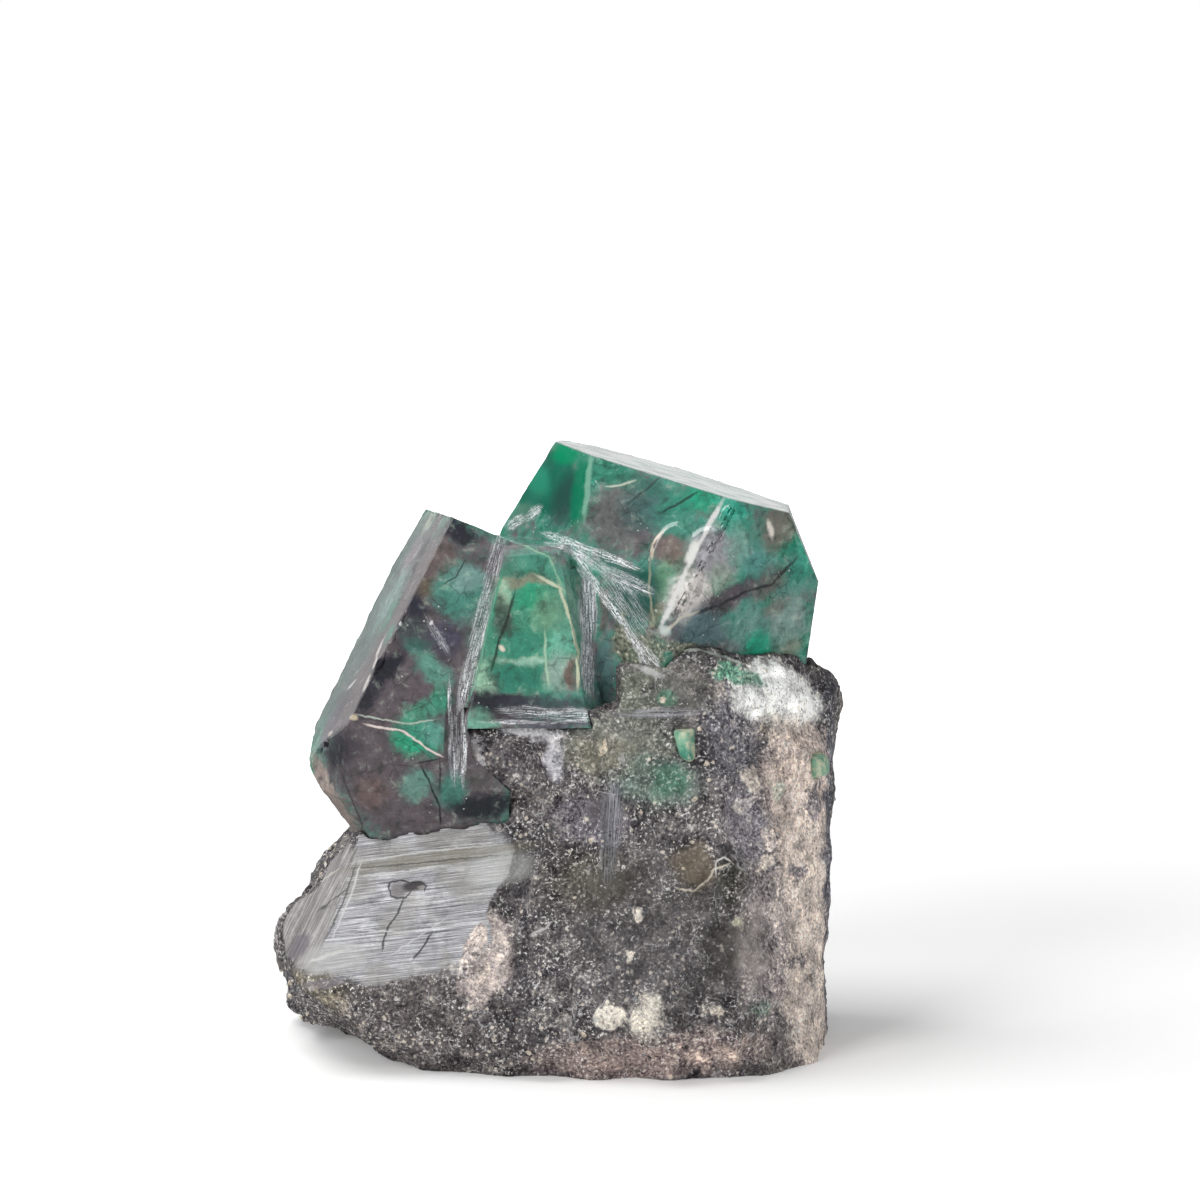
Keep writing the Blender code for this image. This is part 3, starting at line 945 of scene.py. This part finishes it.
# %% Patches, as across, down, half width, half height, turn, softness, colour and strength
SCHIST_PATCHES = [
    (610, 930, 110, 100, 0, 0.8, (90, 88, 88), 0.8),
    (512, 763, 36, 32, -20, 0.6, (102, 99, 99), 0.9),
    (620, 745, 62, 30, 0, 0.7, (123, 126, 116), 0.9),
    (655, 780, 42, 24, -15, 0.7, (116, 134, 122), 0.9),
    (668, 779, 18, 16, 0, 0.8, (92, 140, 118), 0.8),
    (600, 755, 34, 18, 0, 0.8, (134, 132, 116), 0.8),
    (640, 690, 30, 24, 0, 0.8, (112, 118, 104), 0.85),
    (680, 690, 30, 34, 0, 0.8, (108, 108, 102), 0.7),
    (670, 700, 10, 8, 0, 0.8, (90, 136, 112), 0.7),
    (734, 740, 34, 46, 0, 0.7, (118, 117, 121), 0.85),
    (684, 744, 11, 20, -10, 0.5, (128, 184, 150), 0.9),
    (592, 820, 36, 22, 0, 0.9, (128, 124, 130), 0.7),
    (590, 880, 50, 30, 0, 0.9, (86, 83, 74), 0.8),
    (694, 868, 22, 24, 20, 0.7, (100, 92, 80), 0.9),
    (734, 882, 18, 26, 0, 0.7, (76, 76, 66), 0.9),
    (728, 950, 26, 28, 0, 0.7, (70, 68, 64), 0.9),
    (746, 824, 28, 40, 0, 0.8, (150, 147, 150), 0.85),
    (782, 698, 70, 30, -14, 0.4, (252, 254, 248), 1.0),
    (742, 676, 36, 9, -14, 0.6, (108, 178, 146), 0.8),
    (790, 735, 40, 16, -20, 0.9, (186, 176, 164), 0.7),
    (800, 790, 46, 70, 0, 0.5, (212, 196, 184), 0.9),
    (808, 930, 30, 150, 2, 0.6, (230, 216, 203), 0.9),
    (765, 940, 32, 70, 0, 0.7, (160, 152, 148), 0.85),
    (842, 860, 7, 180, 0, 0.7, (92, 94, 102), 0.9),
    (814, 802, 8, 20, 0, 0.7, (104, 102, 108), 0.8),
    (798, 872, 12, 9, 20, 0.7, (104, 102, 108), 0.8),
    (826, 912, 6, 30, 0, 0.7, (112, 110, 116), 0.7),
    (796, 962, 16, 8, 10, 0.7, (112, 108, 108), 0.8),
    (752, 779, 10, 15, 10, 0.5, (224, 214, 200), 0.9),
    (776, 790, 12, 8, -30, 0.6, (206, 208, 190), 0.8),
    (764, 866, 14, 8, 20, 0.5, (222, 212, 198), 0.9),
    (744, 804, 14, 6, 30, 0.6, (206, 200, 194), 0.8),
    (768, 838, 8, 14, 0, 0.6, (214, 202, 192), 0.8),
    (738, 925, 4, 7, 0, 0.5, (216, 212, 186), 0.9),
    (776, 912, 12, 16, -20, 0.7, (206, 196, 186), 0.7),
    (650, 1058, 110, 22, 4, 0.9, (152, 136, 128), 0.8),
    (400, 1030, 110, 46, -20, 0.8, (98, 93, 90), 0.8),
    (315, 985, 30, 40, 0, 0.8, (126, 120, 100), 0.7),
    (486, 960, 24, 44, -20, 0.5, (204, 192, 183), 0.9),
    (468, 935, 22, 14, 30, 0.7, (184, 172, 162), 0.8),
    (607, 1018, 14, 13, 0, 0.4, (228, 222, 206), 0.95),
    (645, 1018, 16, 24, -20, 0.6, (222, 216, 200), 0.8),
    (714, 1008, 11, 6, 0, 0.6, (216, 208, 190), 0.85),
    (640, 915, 5, 8, 20, 0.6, (222, 214, 200), 0.9),
    (628, 956, 5, 5, 0, 0.6, (222, 214, 200), 0.9),
    (602, 746, 4, 8, 0, 0.5, (226, 214, 190), 0.95),
    (818, 765, 8, 9, 0, 0.6, (96, 160, 116), 0.95),
    (760, 1008, 12, 8, 10, 0.8, (120, 142, 124), 0.8),
    (476, 757, 7, 18, 10, 0.7, (206, 204, 204), 0.9),
    (535, 733, 30, 6, -5, 0.8, (196, 196, 196), 0.8),
    (553, 762, 10, 20, 0, 0.8, (188, 188, 192), 0.8),
]
# Glassy places that carry few flecks, as across, down, half width, half height, turn and strength
SMOOTH_PLACES = [
    (664, 780, 34, 22, -15, 0.7), (684, 744, 9, 16, -10, 1.0), (694, 868, 20, 22, 20, 1.0),
    (610, 892, 32, 20, 0, 1.0), (602, 812, 22, 16, 0, 1.0), (735, 950, 20, 26, 0, 1.0),
    (756, 945, 12, 40, 0, 1.0), (660, 692, 50, 32, 0, 0.6), (610, 748, 52, 22, 0, 0.55),
    (660, 925, 84, 72, 0, 0.5),
]

# Pale rims and dark cracks of the broken rock, as places, half width, colour and strength
SCHIST_SEAMS = [
    ([(679, 889), (694, 891), (708, 880), (714, 870), (728, 865)], 1.1, (206, 196, 180), 0.9),
    ([(716, 874), (716, 862), (724, 858), (731, 862)], 0.9, (214, 212, 210), 0.9),
    ([(532, 934), (545, 928), (552, 922)], 1.2, (196, 194, 192), 0.8),
    ([(476, 748), (474, 762), (482, 772), (496, 786)], 3.0, (186, 184, 184), 0.7),
    ([(500, 728), (520, 732), (545, 734), (556, 744)], 3.0, (210, 210, 213), 0.5),
    ([(552, 744), (550, 762), (556, 776)], 5.0, (214, 213, 216), 0.4),
    ([(660, 646), (676, 650), (700, 650), (728, 658), (748, 666)], 1.4, (190, 200, 190), 0.7),
    ([(636, 666), (662, 676)], 3.0, (206, 206, 206), 0.5),
]

# Marks on the ground flats, written as the patches are, and seams on them
FLAT_MARKS = [
    (440, 858, 90, 7, 8, 0.7, (134, 130, 112), 0.55),
    (500, 868, 30, 16, 10, 0.7, (196, 198, 194), 0.5),
    (330, 958, 40, 14, 6, 0.7, (186, 186, 184), 0.6),
    (322, 984, 22, 5, 8, 0.7, (130, 124, 132), 0.6),
    (300, 946, 16, 12, 30, 0.7, (104, 98, 106), 0.7),
    (398, 890, 8.5, 7, 0, 0.7, (120, 116, 116), 0.8),
    (414, 886, 11, 5, 6, 0.7, (70, 66, 68), 0.95),
    (422, 888, 4, 2.6, 0, 0.7, (150, 146, 142), 0.8),
]
FLAT_SEAMS = [
    ([(388, 888), (391, 882), (399, 881), (410, 882), (422, 882), (427, 886), (424, 892)], 0.8,
     (58, 55, 57), 0.9),
    ([(388, 888), (391, 896), (399, 898), (406, 897), (411, 891)], 0.8, (62, 58, 60), 0.85),
    ([(403, 900), (398, 913), (388, 926), (384, 940), (382, 950)], 1.0, (56, 56, 60), 0.85),
    ([(431, 934), (424, 946), (414, 958)], 1.1, (50, 50, 54), 0.85),
    ([(360, 862), (420, 852), (480, 846)], 0.8, (206, 206, 204), 0.8),
    ([(362, 868), (430, 862), (500, 855)], 0.9, (84, 84, 84), 0.7),
    ([(362, 876), (400, 872), (440, 866)], 0.9, (212, 212, 210), 0.7),
    ([(350, 930), (400, 932), (440, 928)], 0.8, (208, 208, 208), 0.7),
    ([(392, 954), (420, 936), (446, 918)], 0.8, (206, 206, 206), 0.6),
    ([(360, 866), (350, 898), (332, 938)], 1.0, (204, 204, 202), 0.85),
    ([(355, 866), (345, 898), (328, 936)], 0.9, (66, 66, 70), 0.7),
    ([(346, 890), (332, 900), (318, 912)], 0.9, (64, 66, 72), 0.7),
    ([(318, 884), (340, 868)], 0.9, (196, 192, 184), 0.7),
    ([(310, 962), (325, 956), (345, 950)], 1.4, (206, 206, 202), 0.8),
]

# %% The finish itself
finish = Finish("mica_schist")
here = finish.here
ragged = finish.shifted(4.0, 6.0, 6)

ground = finish.tones(
    finish.noise(here, 14, 5, 0.6), (0.35, DARK), (0.55, STONE), (0.70, (132, 126, 118))
)
ground = finish.painted(ground, SCHIST_PATCHES, ragged, schist)

# clean patches of glassy crystal and smooth mica, with few flecks on them
glassy = None
for *place, strength in SMOOTH_PLACES:
    mask = finish.spot(ragged, schist, *place, 0.8) * strength
    glassy = mask if glassy is None else glassy.most(mask)

# flakes and crumbs: deep noise through a ramp, drawn out into fibres on the right
fibrous = finish.spot(ragged, schist, 815, 880, 62, 240, 0, 0.8)
drawn = finish.laid(finish.shifted(3.0, 2.0, 3), (0, 0.15, 0), (0.8, 0.9, 1.7))
felt = finish.noise(here, 3.2, 7, 0.8)
fibres = finish.noise(drawn, 2.2, 7, 0.80)
salt = finish.noise(here, 0.55, 3, 0.65)
grain = felt + (fibres - felt) * fibrous
calm = (finish.noise(here, 6, 5, 0.7).rise(0.42, 0.58) * 0.8).most(glassy * 0.85)
grain = grain + (0.49 - grain) * calm
speckle = finish.tones(
    grain * 0.68 + salt * 0.32,
    (0.39, (34, 33, 39)), (0.45, (80, 78, 84)), (0.50, (123, 122, 125)),
    (0.55, (160, 158, 157)), (0.60, (222, 218, 212)), (0.66, (250, 247, 242)),
)
colour = finish.vector("MULTIPLY", ground, speckle)
mottle = finish.noise(ragged, 5, 4, 0.65)
colour = finish.vector("SCALE", colour, mottle * 12.5 - 0.6)
pale = finish.grey(ground).rise(0.30, 0.62) * 0.5
shaded = finish.vector("SCALE", ground, mottle * 3.2 - 0.6)
colour = finish.blend(pale.most(glassy * 0.8), colour, shaded)

# fine specks, bright mica and dark, thicker in some places than in others
bare = 1 - glassy * 0.7
kinked = finish.shifted(1.5, 0.8, 3)
crowded = finish.noise(here, 4.5, 5, 0.7).rise(0.38, 0.60) * bare
glints = finish.noise(kinked, 0.55, 3, 0.7).rise(0.58, 0.62) * crowded
colour = finish.blend(glints * 0.95, colour, (242, 240, 236))
pits = finish.noise(kinked, 0.60, 3, 0.6).rise(0.42, 0.34) * bare
colour = finish.blend(pits * 0.7, colour, (38, 37, 42))
curls = finish.cells(kinked, 2.3, "DISTANCE_TO_EDGE").rise(0.045, 0.012)
curls = curls * finish.noise(here, 3.5, 4, 0.7).rise(0.52, 0.60) * bare
colour = finish.blend(curls * 0.6, colour, (200, 200, 202))
crumbs = finish.cells(kinked, 1.5).rise(0.28, 0.16)
crumbs = crumbs * finish.noise(here, 5, 3).rise(0.48, 0.58) * bare
colour = finish.blend(crumbs * 0.85, colour, (222, 212, 198))
colour = finish.painted(colour, chained(SCHIST_SEAMS, 1.0), kinked, schist, felt * 3.0 - 0.5)


# %% The ground flats, pale and scratched by the wheel
def flat_mask(flat, *extent):
    """1 on one ground flat and 0 off it, within a broad spot."""
    normal, reach = flat
    off = abs(finish.along(normal) - reach) + finish.noise(here, 2.0, 4, 0.7) * 0.5
    return off.rise(0.62, 0.34) * finish.spot(ragged, schist, *extent)


def wheel_marks(rising):
    """The fine straight scratches of the wheel, at an angle to the level."""
    return finish.scratches(rising, (12.0, 1.5, 0.16), 4)


slab = flat_mask(SLAB, 395, 895, 128, 84, 8, 0.15)
slab_side = flat_mask(SLAB_SIDE, 318, 900, 60, 90, 50, 0.2, 400)
slab_marks = wheel_marks(7)
side_marks = wheel_marks(64)
stain = finish.noise(ragged, 7, 4).rise(0.45, 0.65)
slab_colour = finish.tones(
    slab_marks * 0.7 + grain * 0.3,
    (0.38, (86, 86, 91)), (0.46, (146, 146, 151)), (0.53, (184, 184, 188)), (0.60, (236, 236, 238)),
)
slab_colour = finish.blend(stain * 0.4, slab_colour, (142, 138, 126))
side_colour = finish.tones(
    side_marks * 0.6 + grain * 0.4,
    (0.36, (84, 83, 84)), (0.50, (142, 139, 138)), (0.66, (214, 213, 212)),
)
colour = finish.blend(slab, colour, slab_colour)
colour = finish.blend(slab_side, colour, side_colour)
colour = finish.painted(colour, FLAT_MARKS, kinked, schist)
colour = finish.painted(colour, chained(FLAT_SEAMS, 1.0), kinked, schist)

# %% Two grooves, gloss and fine relief
for rising, extent, hue in (
    (86, (611, 830, 8, 44, -4, 1.2), (196, 198, 206)),
    (1, (660, 713, 38, 5, 1, 1.0), (184, 184, 192)),
):
    lines = wheel_marks(rising).rise(0.42, 0.60)
    colour = finish.blend(finish.spot(kinked, schist, *extent) * lines * 0.9, colour, hue)
rough = 0.92 - grain.rise(0.55, 0.75) * 0.3
height = finish.noise(here, 1.1, 3, 0.7) * 2
normal = finish.node(
    "ShaderNodeBump", {}, {"Strength": 0.7, "Distance": 0.35 * MM, "Height": height}
)
schist.data.materials.append(finish.close(base_color=colour, roughness=rough, normal=normal))

# %% [markdown]
# ## Crumbs and flakes
# Two things in the rock stand up enough to cast a shadow of their own: crumbs of cream feldspar,
# 0.4 to 1.5 mm across, and thin six-sided flakes of mica, 0.3 to 1 mm across, that catch the light.
# They lie in loose clusters. Each is modelled once, as a shape of twenty triangles, and copied:
# every copy is a little different in size, squash and turn, and sits half sunk in a broken face.

# %% Places on the broken rock
SEED = 11
CLEAR_OF_FLATS = 0.9
CLEAR_OF_CRYSTALS = 0.8
RARITY = 3
dice = np.random.default_rng(SEED)


def strewn(clusters, each, spread):
    """Points and outward directions on the broken rock, in loose clusters some millimetres wide."""
    faces = schist.data.polygons
    areas = np.zeros(len(faces))
    faces.foreach_get("area", areas)
    seeds = dice.choice(len(faces), clusters, p=areas / areas.sum())
    wanted = np.repeat(middles(schist)[seeds], each, axis=0)
    wanted = wanted + dice.normal(0, spread * MM, wanted.shape)
    found = [schist.closest_point_on_mesh(Vector(place))[1:3] for place in wanted]
    spots = np.array([place for place, outward in found]) / MM
    bare = (off_flats(spots) > CLEAR_OF_FLATS) & (off_crystals(spots) > CLEAR_OF_CRYSTALS)
    return [pair for pair, keep in zip(found, bare) if keep]


def scatter(name, pattern, places, sizes, squash, sunk, tilt):
    """Copies of one pattern on the places given, joined into one piece."""
    copies = []
    for number, (place, outward) in enumerate(places):
        least, most = sizes
        size = (least + (most - least) * dice.random() ** RARITY) * MM
        lean = Vector(dice.normal(0, tilt, 3).tolist())
        turn = (outward + lean).normalized().to_track_quat("Z", "Y")
        spin = Matrix.Rotation(dice.uniform(0, 2 * np.pi), 3, "Z").to_quaternion()
        scale = Vector((size, size * dice.uniform(0.6, 1.0), size * squash))
        copy = bpy.data.objects.new(f"{name}_{number}", pattern.data.copy())
        seat = place - outward * scale.z * sunk
        copy.data.transform(Matrix.LocRotScale(seat, turn @ spin, scale))
        bpy.context.scene.collection.objects.link(copy)
        copies.append(copy)
    bpy.data.objects.remove(pattern)
    only(copies[0])
    for copy in copies:
        copy.select_set(True)
    bpy.ops.object.join()
    piece = bpy.context.active_object
    piece.name = name
    piece.data.name = name
    print(name, "copies", len(places), "triangles", triangles(piece))
    return piece


# %% Crumbs of feldspar
bpy.ops.mesh.primitive_ico_sphere_add(subdivisions=1, radius=1)
bpy.ops.object.shade_smooth()
crumb = bpy.context.active_object
crumbs_piece = scatter(
    "feldspar_crumbs", crumb, strewn(clusters=60, each=9, spread=5.0),
    sizes=(0.18, 0.75), squash=0.7, sunk=0.35, tilt=0.2,
)
cream = Finish("feldspar")
cream_tones = cream.tones(
    cream.noise(cream.here, 0.9, 3, 0.6), (0.35, (168, 152, 136)), (0.60, (228, 220, 204))
)
crumbs_piece.data.materials.append(cream.close(base_color=cream_tones, roughness=0.8))

# %% Flakes of mica
bpy.ops.mesh.primitive_cylinder_add(vertices=6, radius=1, depth=0.3)
flake = bpy.context.active_object
flakes_piece = scatter(
    "mica_flakes", flake, strewn(clusters=90, each=12, spread=4.0),
    sizes=(0.16, 0.5), squash=0.5, sunk=0.2, tilt=0.45,
)
silver = Finish("mica")
silver_tones = silver.tones(
    silver.noise(silver.here, 1.5, 2), (0.40, (120, 118, 124)), (0.60, (216, 214, 212))
)
flakes_piece.data.materials.append(silver.close(base_color=silver_tones, roughness=0.35))

# %% [markdown]
# ## Floor and light
# The stone stands on a pale floor that runs out to white, under soft light from above and from
# both sides, so its shadow is a short soft one. None of this belongs to the stone.

# %% Floor
FLOOR_SIDE = 6.0
FLOOR_DROP = 0.02
bpy.ops.mesh.primitive_plane_add(size=FLOOR_SIDE, location=(0, 0, -FLOOR_DROP * MM))
floor = bpy.context.active_object
floor.name = "floor"
paper = Finish("floor_paper")
fibre = paper.noise(paper.here, 0.9, 3)
away = paper.vector("LENGTH", paper.here, output="Value").rise(90, 700)
floor.data.materials.append(paper.close(
    base_color=fibre * 0.03 + 0.90, roughness=0.95,
    emission_color=away * 0.84 + 0.16, emission_strength=1.0,
))
floor.visible_glossy = False

# %% A bright sheet behind, a dark room in front, and white for the camera
FRONT_ROOM = 0.10
BACK_SHEET = 1.0
SHEET_EDGE = 0.4
BELOW = 0.15
world = bpy.data.worlds.new("studio")
world.use_nodes = True
bpy.context.scene.world = world
sky = Nodes(world.node_tree)
towards = sky.node("ShaderNodeTexCoord", output="Generated")
across, ahead, up = (
    sky.node("ShaderNodeSeparateXYZ", {}, {"Vector": towards}, axis) for axis in "XYZ"
)
sheet = ahead.rise(0.20, 0.80, FRONT_ROOM, BACK_SHEET)
sheet = sheet * abs(across).rise(0.15, 0.45, 1, SHEET_EDGE, "LINEAR")
sheet = sheet * up.rise(-0.15, 0, BELOW, 1, "LINEAR")
strength = sheet.most(sky.node("ShaderNodeLightPath", output="Is Camera Ray"))
backdrop = sky.tree.nodes["Background"]
backdrop.inputs["Color"].default_value = (1, 1, 1, 1)
sky.tree.links.new(strength.socket, backdrop.inputs["Strength"])

# %% Lamps, as name, place in metres, side, power, and whether a polished face mirrors them
LAMPS = [
    ("above", (-0.42, 0.02, 0.86), 0.6, 6.4, True),
    ("front_left", (-0.75, -0.85, 0.75), 0.5, 7.0, False),
    ("front_right", (0.8, -0.9, 0.6), 0.5, 4.4, False),
]
LIT_POINT = Vector((0, 0, 0.05))
for name, place, width, power, mirrored in LAMPS:
    data = bpy.data.lights.new(name, "AREA")
    data.size = width
    data.energy = power
    lamp = bpy.data.objects.new(name, data)
    bpy.context.scene.collection.objects.link(lamp)
    lamp.location = place
    lamp.rotation_euler = (LIT_POINT - Vector(place)).to_track_quat("-Z", "Y").to_euler()
    lamp.visible_glossy = mirrored
bpy.context.scene.view_settings.view_transform = "Standard"

# %% What each piece stands for
for piece, node, slot in (
    (schist, "schist_matrix", "schist"),
    (emerald, "emerald_crystals", "emerald"),
    (small, "small_crystal", "emerald"),
    (side, "side_crystal", "emerald"),
):
    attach(piece, "root")
    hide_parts(node)
for piece in (crumbs_piece, flakes_piece):
    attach(piece, "root")
